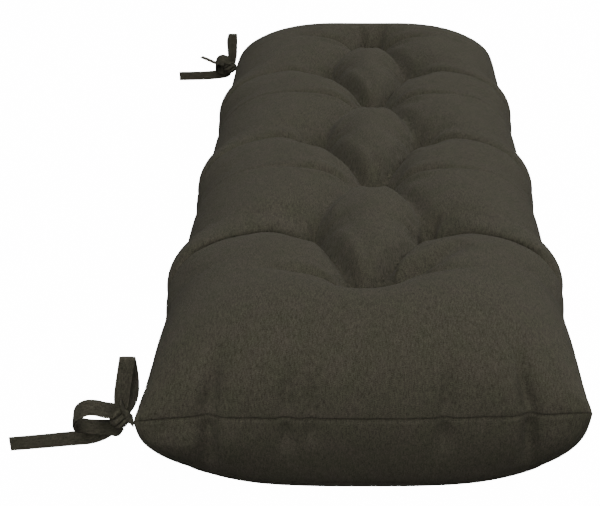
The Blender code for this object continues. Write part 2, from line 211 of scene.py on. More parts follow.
NEAR_STRANDS = {
    # place from the ear: across, along, up; then how far the width leans over, in degrees
    "root_low": (
        (-0.0006, 0.0000, 0.0000, 112),
        (-0.0035, 0.0000, 0.0000, 112),
        (-0.0085, -0.0005, 0.0010, 108),
    ),
    "root_high": (
        (0.0000, 0.0000, 0.0010, 90),
        (-0.0036, -0.0040, 0.0090, 100),
        (-0.0060, -0.0085, 0.0185, 108),
        (-0.0076, -0.0095, 0.0265, 110),
    ),
    "side_loop": (
        (-0.0060, -0.0040, 0.0105, 40),
        (-0.0120, -0.0080, 0.0140, 34),
        (-0.0200, -0.0150, 0.0196, 28),
        (-0.0275, -0.0180, 0.0238, 25),
        (-0.0365, -0.0180, 0.0237, 25),
        (-0.0457, -0.0130, 0.0161, 33),
        (-0.0510, -0.0040, 0.0052, 45),
        (-0.0512, 0.0060, -0.0055, 52),
        (-0.0480, 0.0140, -0.0110, 52),
        (-0.0418, 0.0180, -0.0146, 48),
        (-0.0329, 0.0180, -0.0152, 42),
        (-0.0229, 0.0120, -0.0122, 36),
        (-0.0150, 0.0060, -0.0098, 32),
        (-0.0095, 0.0010, -0.0020, 40),
    ),
    "long_end": (
        (-0.0080, 0.0020, 0.0060, 28),
        (-0.0138, 0.0080, -0.0032, 25),
        (-0.0249, 0.0170, -0.0164, 20),
        (-0.0353, 0.0225, -0.0246, 14),
        (-0.0449, 0.0240, -0.0285, 10),
        (-0.0595, 0.0230, -0.0296, 6),
        (-0.0837, 0.0200, -0.0306, 2),
        (-0.1150, 0.0180, -0.0325, 0),
    ),
    "upright_loop": (
        (-0.0095, -0.0035, 0.0100, 0),
        (-0.0082, -0.0050, 0.0190, 0),
        (-0.0069, -0.0055, 0.0300, 0),
        (-0.0048, -0.0050, 0.0420, 0),
        (-0.0012, -0.0038, 0.0608, 0),
        (-0.0010, -0.0010, 0.0638, 0),
        (-0.0008, 0.0018, 0.0608, 0),
        (0.0000, 0.0050, 0.0443, 10),
        (-0.0003, 0.0060, 0.0271, 25),
        (-0.0024, 0.0040, 0.0140, 45),
        (-0.0055, 0.0010, 0.0060, 60),
    ),
    "short_end": (
        (-0.0090, 0.0010, 0.0095, 60),
        (-0.0200, 0.0080, 0.0085, 72),
        (-0.0330, 0.0150, 0.0070, 76),
    ),
}
FAR_STRANDS = {
    "root_low": (
        (-0.0006, 0.0000, 0.0000, 96),
        (-0.0035, 0.0000, 0.0000, 96),
        (-0.0080, -0.0005, 0.0000, 96),
    ),
    "side_loop": (
        (-0.0085, -0.0050, 0.0065, 45),
        (-0.0155, -0.0100, 0.0135, 24),
        (-0.0235, -0.0130, 0.0166, 30),
        (-0.0310, -0.0095, 0.0120, 34),
        (-0.0350, 0.0000, 0.0020, 42),
        (-0.0325, 0.0095, -0.0060, 40),
        (-0.0248, 0.0130, -0.0090, 34),
        (-0.0160, 0.0090, -0.0080, 28),
        (-0.0100, 0.0030, -0.0030, 32),
    ),
    "long_end": (
        (-0.0090, 0.0030, -0.0030, 28),
        (-0.0185, 0.0140, -0.0129, 20),
        (-0.0315, 0.0190, -0.0173, 10),
        (-0.0554, 0.0160, -0.0186, 4),
        (-0.0948, 0.0140, -0.0190, 0),
    ),
    "upright_loop": (
        (-0.0088, -0.0030, 0.0072, 0),
        (-0.0076, -0.0045, 0.0221, 0),
        (-0.0068, -0.0040, 0.0353, 0),
        (-0.0064, -0.0036, 0.0500, 0),
        (-0.0068, -0.0010, 0.0530, 0),
        (-0.0072, 0.0016, 0.0500, 0),
        (-0.0098, 0.0030, 0.0400, 0),
        (-0.0094, 0.0040, 0.0237, 0),
        (-0.0091, 0.0012, 0.0091, 0),
    ),
    "short_end": (
        (-0.0090, 0.0030, 0.0000, 90),
        (-0.0338, 0.0140, 0.0019, 90),
        (-0.0498, 0.0180, 0.0073, 90),
        (-0.0593, 0.0200, 0.0107, 90),
    ),
}
KNOTS = {
    # tie: place from the ear, then size
    "tie_near": ((-0.0105, -0.0060, 0.0085), (0.018, 0.020, 0.022)),
    "tie_far": ((-0.0125, -0.0045, 0.0015), (0.021, 0.019, 0.020)),
}
KNOT_CREASES = 7          # folds of the gathered cloth round a knot
KNOT_CREASE_DEPTH = 0.52  # against the knot's half size
KNOT_TWIST = 0.9          # turn of the creases from one side of the knot to the other, in radians
KNOT_ROUND, KNOT_RINGS, KNOT_POLE = 96, 48, 0.02   # points round it, rings along it, open pole
TIES = (
    # name, end, distance from its corner, pull on the ear across and up, strands
    ("tie_near", -1, 0.000, (-0.0040, -0.0040), NEAR_STRANDS),
    ("tie_far", 1, 0.030, (0.0000, -0.0035), FAR_STRANDS),
)

# Mesh of one panel
STEP = 0.0030             # size of a square on the crown
SEAM_STEP = 0.0006        # and beside the seam
STEP_GROWTH = 0.10
TINY = 1e-9

# Filling: the case of cloth is blown up from a slacker shape, held at its seam and tufts
BLOW_FRAMES = 20
BLOW_PRESSURE = 4.0
CLOTH_TENSION, CLOTH_COMPRESSION, CLOTH_BENDING = 15.0, 5.0, 0.3
SLACK = 0.002             # how far in the cloth starts
SLACK_REACH = 0.040       # and how far from a tuft or the seam it starts to be slack
HELD_AT_TUFT = 0.004
HELD_AT_FLOOR = 0.020
MOST_MOVED = 0.010
SOFT_PASSES = 3

# Seam: the two panels turn in to meet in a narrow valley
SEAM_SINK = 0.0015
SEAM_REACH = {"upper": 0.0010, "lower": 0.0018}
SEAM_CORNER = 40          # power with which the valley runs out at an ear

# Cloth: an uneven plain weave, in linear colours
YARN_PITCH = 0.00075      # from one yarn to the next
SLUB_YARNS = 7.0          # a yarn's shade drifts over this many crossings
PATCH_SIZE = 0.022        # of the faint olive and warm patches
OLIVE_DARK, OLIVE_LIGHT = (0.026, 0.0255, 0.0170), (0.100, 0.0960, 0.0665)
WARM_DARK, WARM_LIGHT = (0.029, 0.0258, 0.0190), (0.108, 0.0970, 0.0725)
YARN_CONTRAST, PATCH_CONTRAST = 2.8, 3.0
HIDDEN_ARCH = 0.35        # height of a yarn where it dives under its neighbour
ARCH_SHADE_SHARE, YARN_SHARE = 0.25, 0.85   # of the height, as painted shade in the weave's hollows, and of the yarn's own tone, in the colour
YARN_KEY = 7.31           # spreads the yarns' numbers over the noise
SLUB_RATIO = 3            # the crosswise yarns drift this much faster
SHEEN = 0.1

# The camera that took the photo, in pixels of the photo's frame
FRAME_WIDTH = 600
FOCAL_PIXELS = 1519.07
AXIS_PIXEL = 365.0        # column that the camera points at, right of the frame's middle
SENSOR = 36.0
CAMERA_PLACE = (0.0, -1.7605, 0.7382)
CAMERA_PITCH = 22.75      # degrees below the horizon

# Light
BACKDROP = 15.0           # strength of the white round the cushion, seen by the camera alone
LIGHT_BELOW, LIGHT_ABOVE = 0.0, 0.10
HORIZON_BLUR = 0.15       # how far above and below the horizon the one turns into the other
FLOOR_SIZE = 12.0         # half its width
LAMP_DISTANCE, LAMP_SIZE = 8.0, 3.6
LAMPS = (
    # name, bearing from the near end towards the right, height above the horizon, power
    ("front_low", 0.0, 10.0, 84.0),
    ("front", 0.0, 35.0, 243.0),
    ("front_high", 4.0, 60.0, 200.0),
    ("right", 110.0, 35.0, 214.0),
    ("back", 180.0, 35.0, 88.0),
)


def row_place(row):
    """Place along the cushion of a row of tufts."""
    spacing = (LENGTH - 2.0 * END_ROW) / (ROWS - 1)
    return -LENGTH / 2 + END_ROW + (row - 1) * spacing


def shoulder(run, power):
    """Rise of a puffed edge: 0 at the seam, 1 at the end of its run, along a superellipse."""
    inside = 1.0 - np.clip(run, 0.0, 1.0)
    return (1.0 - inside**power) ** (1.0 / power)


def pinch(distance):
    """Sink of the cloth beside a crease: 1 in it and 0 from its reach on, along a circle."""
    inside = 1.0 - np.clip(distance, 0.0, 1.0)
    return 1.0 - np.sqrt(1.0 - inside**2)


def soften(values, passes):
    """Each pass averages every inner point of a grid with its neighbours, along and across."""
    for _ in range(passes):
        inner = values[1:-1, 1:-1]
        sides = values[:-2, 1:-1] + values[2:, 1:-1] + values[1:-1, :-2] + values[1:-1, 2:]
        values = values.copy()
        values[1:-1, 1:-1] = 0.5 * inner + 0.125 * sides
    return values


def ramp(values, start, end):
    """Smooth step: 0 up to its start and 1 from its end on."""
    t = np.clip((values - start) / (end - start), 0.0, 1.0)
    return t * t * (3 - 2 * t)


def crease_lines():
    """Every crease as its start, its end, its kind and its row, from the table of tufts."""
    tufts = [(across, row_place(row), row) for row, across in TUFTS]
    lines = []
    for i, (x, y, row) in enumerate(tufts):
        for other_x, other_y, other_row in tufts[i + 1 :]:
            if other_row == row + 1:
                lines.append(((x, y), (other_x, other_y), "between_tufts", row))
        single = row % 2 == 1
        for side in (-1, 1):
            if single or side * x > 0:
                lines.append(((x, y), (side * WIDTH / 2, y), SIDE_KINDS[row - 1], row))
    return lines


def from_line(x, y, start, end, kind):
    """Share of the way along a crease of the nearest place on it, the distance, and the side.

    The side is true on a crease's second side: outwards of one between tufts, and towards the
    far end of any other. A bowed crease is a parabola beside its straight line.
    """
    along_x = end[0] - start[0]
    along_y = end[1] - start[1]
    t = ((x - start[0]) * along_x + (y - start[1]) * along_y) / (along_x**2 + along_y**2)
    t = np.clip(t, 0.0, 1.0)
    off_x = x - start[0] - t * along_x
    off_y = y - start[1] - t * along_y
    if kind == "between_tufts" and abs(start[0]) > abs(end[0]):
        off_x = off_x - math.copysign(BOW, start[0]) * 4 * t * (1 - t)
    if kind.endswith("_side") and kind != "weak_side":
        off_y = (off_y - SIDE_SLANT * t**2) / np.hypot(1.0, 2 * SIDE_SLANT * t / along_x)
    second = off_x * (start[0] + end[0]) > 0 if kind == "between_tufts" else off_y > 0
    return t, np.hypot(off_x, off_y), second


def crease_depth(x, y, panel):
    """Depth of the cloth below its puffed envelope.

    Each crease is a line whose depth is a parabola through three values, and beside it the cloth
    rises along a circle. What the creases leave standing is multiplied, and their depths are
    averaged by nearness, so that creases that meet don't deepen each other. Away from the
    creases the sum is softened, so that each puff is a dome.
    """
    share = 1.0 if panel == "upper" else LOWER_SHARE
    level = np.ones_like(x)
    weighted = np.zeros_like(x)
    weights = np.full_like(x, TINY)
    nearest = np.full_like(x, LENGTH)
    for start, end, kind, _ in crease_lines():
        middle, far, first_reach, second_reach = CREASES[kind]
        t, distance, second = from_line(x, y, start, end, kind)
        depth = TUFT_DEPTH * (1 - t) * (1 - 2 * t) + 4 * middle * t * (1 - t) + far * t * (2 * t - 1)
        sink = pinch(distance / np.where(second, second_reach, first_reach))
        level *= 1.0 - sink
        weighted += depth * sink**3
        weights += sink**3
        nearest = np.minimum(nearest, distance)
    depth = share * (1.0 - level) * weighted / weights
    return depth + (soften(depth, DOME_PASSES) - depth) * ramp(nearest, DOME_FROM, DOME_TO)


def fold_depth(x, y):
    """Depth of the narrow folds in the side creases: a bell across, fading at both ends."""
    depth = np.zeros_like(x)
    deep = {row: (most, wide) for row, most, wide in FOLDS}
    for start, end, kind, row in crease_lines():
        if kind != "between_tufts" and row in deep:
            t, distance, _ = from_line(x, y, start, end, kind)
            most, wide = deep[row]
            run = np.clip((t - FOLD_FROM) / (FOLD_TO - FOLD_FROM), 0.0, 1.0) ** FOLD_LATE
            bell = np.exp(-((distance / wide) ** 2))
            depth += most * np.sin(math.pi * run) ** FOLD_BLUNT * bell
    return depth


def loose_fold_depth(x, y):
    """Depth of the single folds near the tufts: a bell across, deepest at their start."""
    depth = np.zeros_like(x)
    for row, start, end, deep, wide in LOOSE_FOLDS:
        ends = [(across, row_place(row) + ahead) for across, ahead in (start, end)]
        t, distance, _ = from_line(x, y, *ends, "loose")
        depth += deep * (1 - t) ** LOOSE_FOLD_FADE * np.exp(-((distance / wide) ** 2))
    return depth


def overhang(x, y):
    """How far the cloth beside a side crease leans over it, towards the far end.

    On each side it is a wave that rises from the crease, is highest at 0.7 of its reach, and dies
    away, so that the two puffs close over the crease.
    """
    lean = np.zeros_like(x)
    sides = {row: values for row, *values in OVERHANGS}
    for start, end, kind, row in crease_lines():
        if row in sides and kind != "between_tufts":
            near, near_reach, far, far_reach = sides[row]
            t, distance, ahead = from_line(x, y, start, end, kind)
            off = distance / np.where(ahead, far_reach, near_reach)
            run = np.sin(math.pi * np.clip(t * OVERHANG_RUN, 0.0, 1.0)) ** OVERHANG_BLUNT
            lean += np.where(ahead, -far, near) * run * WAVE_PEAK * off * np.exp(-(off**2))
    return lean


def tuft_gathers(x, y):
    """Small radial folds round each tuft: a cosine of the angle, strongest a little way out."""
    height = np.zeros_like(x)
    for row, across in TUFTS:
        off_x, off_y = x - across, y - row_place(row)
        away = np.hypot(off_x, off_y) / GATHER_REACH
        turn = GATHER_TURN[0] * row + GATHER_TURN[1] * across
        fold = np.cos(TUFT_GATHERS * np.arctan2(off_y, off_x) + turn)
        height += GATHER_DEPTH * fold * RING_PEAK * away**2 * np.exp(-(away**2))
    return height


def seam_puckers(x, y, drop):
    """Depth of the puckers, from the distance to the seam over the cloth, negative below it.

    Those of the near seam are bells across, leaning as they leave the seam, and bells along, and
    shallower at the seam itself. Under the near ears the cloth hangs fuller, by a bell. The small
    ones all round are the square of a sum of waves, where that is positive.
    """
    near = np.exp(-(((LENGTH / 2 + y) / PUCKERS_FROM_END) ** 2))
    depth = np.zeros_like(x)
    for place, deep, wide, up, down, lean, _ in PUCKERS:
        reach = np.where(drop > 0, up, down)
        off = x - place - lean * np.clip(drop, 0.0, None)
        depth += near * deep * np.exp(-((off / wide) ** 2)) * np.exp(-((drop / reach) ** 4))
    depth *= 1.0 - SEAM_HOLDS * np.exp(-((drop / SEAM_HOLDS_REACH) ** 2))
    hang = ramp(-drop, 0.0, SAG_FROM_SEAM) * ramp(SAG_END + drop, 0.0, SAG_FADE)
    for place, full in CORNER_SAGS:
        depth -= near * full * hang * np.exp(-(((x - place) / SAG_WIDE) ** 2))
    run = x + y * SEAM_WAVE_ROUND
    waves = [
        np.sin(2 * math.pi * run / length + SEAM_WAVE_SHIFT * i) for i, length in enumerate(SEAM_WAVES)
    ]
    small = np.clip(sum(waves) / len(SEAM_WAVES), 0.0, 1.0) ** 2
    return depth + SEAM_WAVE_DEPTH * small * np.exp(-((drop / SEAM_WAVE_REACH) ** 2))


def seam_lift(x, y, over):
    """How far the near seam hangs in its middle, rises at its right ear and over each pucker."""
    u = 2 * x / WIDTH
    near = np.exp(-(((LENGTH / 2 + y) / SEAM_LIFT_FROM_END) ** 2))
    near = near * np.exp(-((over / SEAM_LIFT_REACH) ** 2))
    lift = NEAR_EAR_LIFT * np.clip(u, 0.0, 1.0) ** 3 - NEAR_SEAM_HANG * (1 - u**2)
    for place, _, wide, _, _, _, high in PUCKERS:
        lift += high * np.exp(-(((x - place) / (2 * wide)) ** 2))
    return near * lift


def side_swell(x, y):
    """Extra fullness of the sides: one soft hump ahead of each row of two tufts."""
    spacing = row_place(3) - row_place(1)
    phase = (y - row_place(1)) / spacing
    hump = np.clip(np.sin(2 * math.pi * (phase - SWELL_SHIFT)), 0.0, 1.0)
    hump = np.where((phase > SWELL_SHIFT) & (phase < SWELL_SHIFT + SWELL_HUMPS), hump, 0.0)
    hump = (1.0 + SWELL_SOFT) * hump**2 / (hump + SWELL_SOFT)
    outer = np.clip((2 * np.abs(x) / WIDTH - SWELL_FROM) / SWELL_OVER, 0.0, 1.0)
    number = np.clip(np.floor(phase).astype(int), 0, len(SIDE_SWELLS) - 1)
    return np.array(SIDE_SWELLS)[number] * hump * outer**2 * (3 - 2 * outer)


def side_draw(y):
    """How far the side seam is drawn in: none at the ears, most at each row of side creases."""
    ends = 2 * y / LENGTH
    spacing = row_place(3) - row_place(1)
    wave = 0.5 + 0.5 * np.cos(2 * math.pi * (y - row_place(2)) / spacing)
    return SIDE_PULL * (1 - ends**6) + SEAM_SCALLOP * wave * (1 - ends**8)


def spread(length, run, power):
    """Places across a panel, even steps over its puffed profile, finer ones beside the seams."""
    turn = np.linspace(0.0, math.pi / 2, 4001)
    inward = run * (1.0 - np.cos(turn) ** (2.0 / power))
    rise = CROWN * np.sin(turn) ** (2.0 / power)
    over = np.concatenate([[0.0], np.cumsum(np.hypot(np.diff(inward), np.diff(rise)))])
    total = over[-1] + length / 2 - run
    steps = [0.0]
    while steps[-1] < total:
        steps.append(steps[-1] + min(STEP, SEAM_STEP + STEP_GROWTH * steps[-1]))
    steps = np.array(steps) * total / steps[-1]
    places = np.interp(steps, np.append(over, total), np.append(inward, length / 2))
    return np.concatenate([places - length / 2, length / 2 - places[::-1][1:]])


def panel_envelope(panel, x, y):
    """Points of a panel without its creases: the product of a shoulder across and one along."""
    side_run, side_power, end_run, end_power = ROUNDING[panel]
    from_side = WIDTH / 2 - np.abs(x)
    from_end = LENGTH / 2 - np.abs(y)
    rise = shoulder(from_side / side_run, side_power) * shoulder(from_end / end_run, end_power)
    height = (CROWN if panel == "upper" else BELLY) * rise
    return np.stack([x, y, height], axis=-1), rise


def panel_surface(panel, x, y):
    """Points of one panel, measured up from the seam for the upper panel and down for the lower.

    The envelope is pressed in along its own normal by the creases, which fade out towards the
    seam, and the seams are drawn in.
    """
    places, rise = panel_envelope(panel, x, y)
    normals = np.cross(np.gradient(places, axis=1), np.gradient(places, axis=0))
    normals /= np.linalg.norm(normals, axis=-1, keepdims=True) + TINY
    normals *= np.where(normals[..., 2:] < 0, -1.0, 1.0)
    fade = np.clip(rise / EDGE_LEVEL, 0.0, 1.0)
    swell = side_swell(x, y) * np.sqrt(np.sin(math.pi * np.clip(rise, 0.0, 1.0)))
    places = places - normals * (crease_depth(x, y, panel) * fade - swell)[..., None]
    if panel == "upper":
        places[..., 1] += overhang(x, y) * fade
    u = 2 * x / WIDTH
    v = 2 * y / LENGTH
    places[..., 0] -= u * np.abs(u) * side_draw(y)
    places[..., 1] -= v * np.abs(v) * END_PULL * (1 - u**6)
    return places


def floor_flat(depth):
    """Depth of the lower panel once its own weight has flattened it on the floor."""
    over = (depth - SEAM_HEIGHT) / FLOOR_SOFTNESS
    return depth - FLOOR_SOFTNESS * np.logaddexp(0.0, over)


def ear_pull(places):
    """How far the ties draw the cloth outwards and down around the ears that they are sewn into."""
    pull = np.zeros_like(places)
    for _, end, inset, (across, up), _ in TIES:
        ear = (-WIDTH / 2, end * (LENGTH / 2 - inset))
        away = np.hypot(places[..., 0] - ear[0], places[..., 1] - ear[1])
        near = np.exp(-((away / EAR_PULL_REACH) ** 2))
        pull += near[..., None] * np.array((across, 0.0, up))
    return pull


def placed_panel(panel, x, y):
    """A panel's points in the part's frame; the lower one lies flat in its middle."""
    places = panel_surface(panel, x, y)
    pull = ear_pull(places)
    if panel == "upper":
        places[..., 2] += SEAM_HEIGHT
    else:
        places[..., 2] = SEAM_HEIGHT - floor_flat(places[..., 2])
        pull *= places[..., 2:] / SEAM_HEIGHT
    return places + pull


def dressed(panel, places, x, y):
    """A filled panel with its folds, gathers and puckers, and its seam drawn into its valley.

    All but the seam's own moves go along the normals, inwards.
    """
    _, rise = panel_envelope(panel, x, y)
    over = rise * CROWN if panel == "upper" else -rise * BELLY
    deep = seam_puckers(x, y, over)
    if panel == "upper":
        fade = np.clip(rise / EDGE_LEVEL, 0.0, 1.0)
        deep += (fold_depth(x, y) + loose_fold_depth(x, y) - tuft_gathers(x, y)) * fade
    normals = np.cross(np.gradient(places, axis=1), np.gradient(places, axis=0))
    normals /= np.linalg.norm(normals, axis=-1, keepdims=True) + TINY
    if panel == "lower":
        normals *= -1.0
    places = places - normals * deep[..., None]
    u, v = 2 * x / WIDTH, 2 * y / LENGTH
    sink = SEAM_SINK * np.exp(-((over / SEAM_REACH[panel]) ** 2))
    places[..., 0] -= np.sign(u) * sink * np.abs(u) ** SEAM_CORNER * (1 - np.abs(v) ** SEAM_CORNER)
    places[..., 1] -= np.sign(v) * sink * np.abs(v) ** SEAM_CORNER * (1 - np.abs(u) ** SEAM_CORNER)
    places[..., 2] += seam_lift(x, y, over)
    places[..., 2] = np.maximum(places[..., 2], 0.0)
    return places


def closed_index(shape):
    """Point numbers of the upper and the lower grid of a closed case, which share their rim."""
    rim = np.ones(shape, dtype=bool)
    rim[1:-1, 1:-1] = False
    upper = np.arange(rim.size).reshape(shape)
    lower = upper.copy()
    lower[~rim] = rim.size + np.arange(np.count_nonzero(~rim))
    return upper, lower, rim


def blow_up(points, quads, held):
    """Where a closed case of cloth goes when it is blown up with air, its held points fixed.

    The blow is a short Cloth simulation without gravity, on a mesh of its own that is removed.
    """
    mesh = bpy.data.meshes.new("case")
    mesh.from_pydata(points.tolist(), [], quads.tolist())
    case = bpy.data.objects.new("case", mesh)
    scene = bpy.context.scene
    scene.collection.objects.link(case)
    group = case.vertex_groups.new(name="held")
    group.add(np.nonzero(held)[0].tolist(), 1.0, "REPLACE")
    cloth = case.modifiers.new("cloth", "CLOTH")
    cloth.point_cache.frame_end = BLOW_FRAMES
    cloth.collision_settings.use_collision = False
    settings = cloth.settings
    settings.vertex_group_mass = "held"
    settings.effector_weights.gravity = 0.0
    settings.use_pressure = True
    settings.uniform_pressure_force = BLOW_PRESSURE
    settings.tension_stiffness = CLOTH_TENSION
    settings.compression_stiffness = CLOTH_COMPRESSION
    settings.bending_stiffness = CLOTH_BENDING
    for frame in range(1, BLOW_FRAMES + 1):
        scene.frame_set(frame)
    shaped = case.evaluated_get(bpy.context.evaluated_depsgraph_get())
    moved = np.empty(len(points) * 3)
    shaped.data.vertices.foreach_get("co", moved)
    scene.frame_set(1)
    bpy.data.objects.remove(case)
    bpy.data.meshes.remove(mesh)
    return moved.reshape(-1, 3)


def between(coarse, rows, columns, shape):
    """A coarse grid's values on the whole grid, by straight lines between its rows and columns."""
    wide = np.stack([np.interp(np.arange(shape[1]), columns, line) for line in coarse])
    return np.stack([np.interp(np.arange(shape[0]), rows, line) for line in wide.T], axis=-1)


def plumped(top, bottom, x, y):
    """Both panels once their filling presses them out from a slightly slacker shape.

    Every other line of the grids makes the case that is blown up. It is held at its seam, its
    tufts and where it lies on the floor. How far it moved, with a limit, is softened and added.
    """
    rows = np.unique(np.append(np.arange(0, len(x), 2), len(x) - 1))
    columns = np.unique(np.append(np.arange(0, x.shape[1], 2), x.shape[1] - 1))
    pick = np.ix_(rows, columns)
    upper, lower, rim = closed_index(x[pick].shape)
    points = np.concatenate([top[pick].reshape(-1, 3), bottom[pick][~rim]])
    quads = np.concatenate([grid_quads(upper), grid_quads(lower)[:, ::-1]])
    place_x = np.concatenate([x[pick].ravel(), x[pick][~rim]])
    place_y = np.concatenate([y[pick].ravel(), y[pick][~rim]])
    away = [np.hypot(place_x - across, place_y - row_place(row)) for row, across in TUFTS]
    from_tuft = np.min(away, axis=0)
    from_seam = np.minimum(WIDTH / 2 - np.abs(place_x), LENGTH / 2 - np.abs(place_y))
    held = (from_tuft < HELD_AT_TUFT) | (from_seam < TINY) | (points[:, 2] < HELD_AT_FLOOR)
    normals = outward(points, quads)
    slack = SLACK * np.clip(from_tuft / SLACK_REACH, 0.0, 1.0)
    slack *= np.clip(from_seam / SLACK_REACH, 0.0, 1.0) * ~held
    moved = blow_up(points - normals * slack[:, None], quads, held) - points
    length = np.linalg.norm(moved, axis=1, keepdims=True)
    moved *= np.minimum(1.0, MOST_MOVED / np.maximum(length, TINY))
    plump = []
    for panel, index in ((top, upper), (bottom, lower)):
        shift = [between(moved[index][..., i], rows, columns, x.shape) for i in range(3)]
        plump.append(panel + soften(np.stack(shift, axis=-1), SOFT_PASSES))
    return plump


def outward(points, quads):
    """Unit normals of a closed mesh of squares at its points."""
    corner = points[quads]
    face = np.cross(corner[:, 2] - corner[:, 0], corner[:, 3] - corner[:, 1])
    normals = np.zeros_like(points)
    for i in range(4):
        np.add.at(normals, quads[:, i], face)
    return normals / (np.linalg.norm(normals, axis=1, keepdims=True) + TINY)


def cut_places(panel, x, y):
    """Place of each point in the flat cut cloth: lengths run over the envelope, from its middle."""
    places, _ = panel_envelope(panel, x, y)
    across = np.linalg.norm(np.diff(places, axis=1), axis=-1)
    along = np.linalg.norm(np.diff(places, axis=0), axis=-1)
    u = np.concatenate([np.zeros((len(x), 1)), np.cumsum(across, axis=1)], axis=1)
    v = np.concatenate([np.zeros((1, x.shape[1])), np.cumsum(along, axis=0)], axis=0)
    u -= u[:, x.shape[1] // 2, None]
    v -= v[x.shape[0] // 2]
    return np.stack([u, v], axis=-1)


def grid_quads(index):
    """Squares between neighbouring points of a grid of point numbers."""
    corners = [index[:-1, :-1], index[:-1, 1:], index[1:, 1:], index[1:, :-1]]
    return np.stack(corners, axis=-1).reshape(-1, 4)


def mesh_object(name, points, faces, uv, material):
    """An object with its mesh, its cloth coordinates at each face corner and its material."""
    mesh = bpy.data.meshes.new(name)
    mesh.from_pydata(points.tolist(), [], faces)
    layer = mesh.uv_layers.new(name="cloth")
    layer.uv.foreach_set("vector", uv.astype(np.float32).ravel())
    mesh.materials.append(material)
    mesh.validate()
    mesh.shade_smooth()
    piece = bpy.data.objects.new(name, mesh)
    bpy.context.scene.collection.objects.link(piece)
    return piece


def make_cushion(material):
    """One filled, closed surface: the two panels meet at the seam, whose points they share."""
    side_run, side_power, end_run, end_power = ROUNDING["upper"]
    across, along = spread(WIDTH, side_run, side_power), spread(LENGTH, end_run, end_power)
    x, y = np.meshgrid(across, along)
    top = placed_panel("upper", x, y)
    bottom = placed_panel("lower", x, y)
    upper, lower, rim = closed_index(x.shape)
    top[rim] = bottom[rim]
    top, bottom = plumped(top, bottom, x, y)
    top, bottom = dressed("upper", top, x, y), dressed("lower", bottom, x, y)
    top[rim] = bottom[rim]
    points = np.concatenate([top.reshape(-1, 3), bottom[~rim]])
    quads = np.concatenate([grid_quads(upper), grid_quads(lower)[:, ::-1]])
    cells = grid_quads(np.arange(rim.size).reshape(rim.shape))
    upper_cut = cut_places("upper", x, y).reshape(-1, 2)[cells]
    lower_cut = cut_places("lower", x, y).reshape(-1, 2)[cells[:, ::-1]]
    uv = np.concatenate([upper_cut, lower_cut])
    return mesh_object("cushion_cloth", points, quads.tolist(), uv, material)


def smooth_rows(table):
    """A table's rows joined by a Catmull-Rom curve, then spaced evenly along it."""
    rows = np.array(table, dtype=float)
    padded = np.concatenate([2 * rows[:1] - rows[1:2], rows, 2 * rows[-1:] - rows[-2:-1]])
    t = np.linspace(0.0, 1.0, CURVE_STEPS, endpoint=False)[:, None]
    pieces = []
    for i in range(len(rows) - 1):
        before, start, end, after = padded[i : i + 4]
        cubic = 2 * start + (end - before) * t + (2 * before - 5 * start + 4 * end - after) * t**2
        pieces.append(0.5 * (cubic + (3 * start - before - 3 * end + after) * t**3))
    curve = np.concatenate(pieces + [rows[-1:]])
    run = run_along(curve[:, :3])
    even = np.linspace(0.0, run[-1], int(run[-1] / STRAND_STEP) + 2)
    return np.stack([np.interp(even, run, column) for column in curve.T], axis=-1)


def run_along(points):
    """Length along a line of points, up to each of them."""
    return np.concatenate([[0.0], np.cumsum(np.linalg.norm(np.diff(points, axis=0), axis=1))])


def strand_frame(rows, level):
    """Unit vectors along a strip's width and its thickness, from the lean of its width."""
    forward = np.gradient(rows[:, :3], axis=0)
    forward /= np.linalg.norm(forward, axis=1, keepdims=True)
    lean = np.radians(rows[:, 3:])
    wide = np.array(level) * np.cos(lean) + np.array(ALONG) * np.sin(lean)
    wide -= forward * np.sum(wide * forward, axis=1, keepdims=True)
    wide /= np.linalg.norm(wide, axis=1, keepdims=True)
    return wide, np.cross(forward, wide)


def strip_section():
    """Cut of a flat strip, as half widths and half thicknesses from -1 to 1, round at its edges."""
    turn = np.linspace(0.0, 2 * math.pi, STRAND_STEPS, endpoint=False)
    side = np.sign(np.cos(turn)) * np.abs(np.cos(turn)) ** EDGE_BLUNT
    face = np.sign(np.sin(turn)) * np.abs(np.sin(turn)) ** FACE_BLUNT
    return side, face


def hem_line(distance):
    """Share of the thickness that the stitches of a hem leave, at a distance from it."""
    return 1.0 - HEM_SINK * np.exp(-((distance / HEM_WIDE) ** 2))


def make_strand(kind, table, ear, knot):
    """Points, faces and cloth places of a flat strip carried along its strand, closed at its ends.

    Near the knot the strip is drawn narrower and folds lengthwise; its roots aren't.
    """
    rows = smooth_rows(table)
    wide, thick = strand_frame(rows, ACROSS if kind == "upright_loop" else UPRIGHT)
    run = run_along(rows[:, :3])
    away = np.linalg.norm(rows[:, :3] - np.array(knot), axis=1)
    gather = np.exp(-((away / GATHER_AT_KNOT) ** 2))
    if kind.startswith("root"):
        gather = np.zeros_like(away)
    side, face = strip_section()
    half = STRIP_WIDTH / 2 * (1 - NARROWED * gather)[:, None] * side
    hem = hem_line(STRIP_WIDTH / 2 * (1 - np.abs(side)) - HEM_AT)[None, :]
    if kind.endswith("end"):
        hem = hem * hem_line(run[-1] - run - END_HEM_AT)[:, None]
    lift = STRIP_THICKNESS / 2 * hem * face + CUPPED * gather[:, None] * (1 - 2 * np.abs(side))
    ring = (ear + rows[:, :3])[:, None] + wide[:, None] * half[..., None]
    ring = ring + thick[:, None] * lift[..., None]
    index = np.arange(ring[..., 0].size).reshape(ring.shape[:2])
    after = np.roll(index, -1, axis=1)
    faces = np.stack([after[:-1], index[:-1], index[1:], after[1:]], axis=-1)
    faces = faces.reshape(-1, 4).tolist() + [index[0].tolist(), index[-1][::-1].tolist()]
    cut = np.stack(np.broadcast_arrays(side * STRIP_WIDTH / 2, run[:, None]), axis=-1)
    return ring.reshape(-1, 3), faces, cut.reshape(-1, 2)


